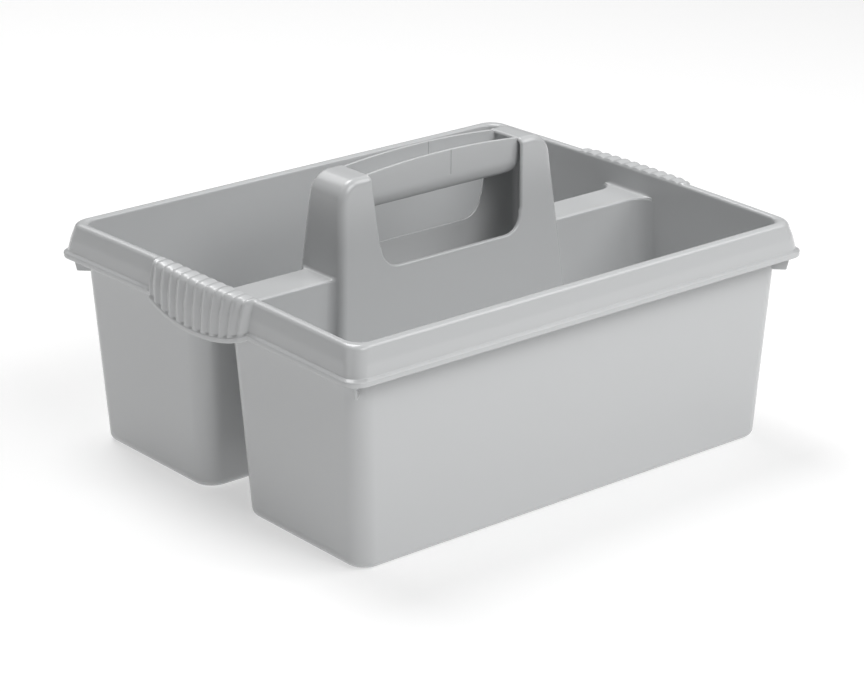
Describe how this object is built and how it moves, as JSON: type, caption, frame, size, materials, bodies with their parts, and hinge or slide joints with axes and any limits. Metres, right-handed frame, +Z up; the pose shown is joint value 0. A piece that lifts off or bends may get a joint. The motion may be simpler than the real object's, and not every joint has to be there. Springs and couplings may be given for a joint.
{
  "type": "tool storage caddy",
  "caption": "Open carry caddy with long bays either side of a central spine, a rolled rim with ribbed end grips, and a hollow handle tower with a trough-shaped carry grip.",
  "frame": {"origin": "centre of the footprint, on the plane that the bay floors rest on", "axes": "+X along the bays towards the right end grip, +Y across the bays towards the far bay, +Z up towards the handle"},
  "size_m": [0.4132, 0.3332, 0.2148],
  "materials": {
    "shell": "light grey polypropylene, moulded semi-gloss",
    "grip": "the same light grey polypropylene, very slightly duller where hands hold it"
  },
  "bodies": {
    "root": {"near_bay": "shell", "far_bay": "shell", "rim_near": "shell", "rim_far": "shell", "spine_left": "shell", "spine_right": "shell", "post_left": "shell", "post_right": "shell", "panel_near": "shell", "panel_far": "shell", "corner_rib_near_left": "shell", "corner_rib_near_right": "shell", "corner_rib_far_left": "shell", "corner_rib_far_right": "shell", "end_grip_left": "grip", "end_grip_right": "grip", "handle_grip": "grip"}
  },
  "joints": []
}
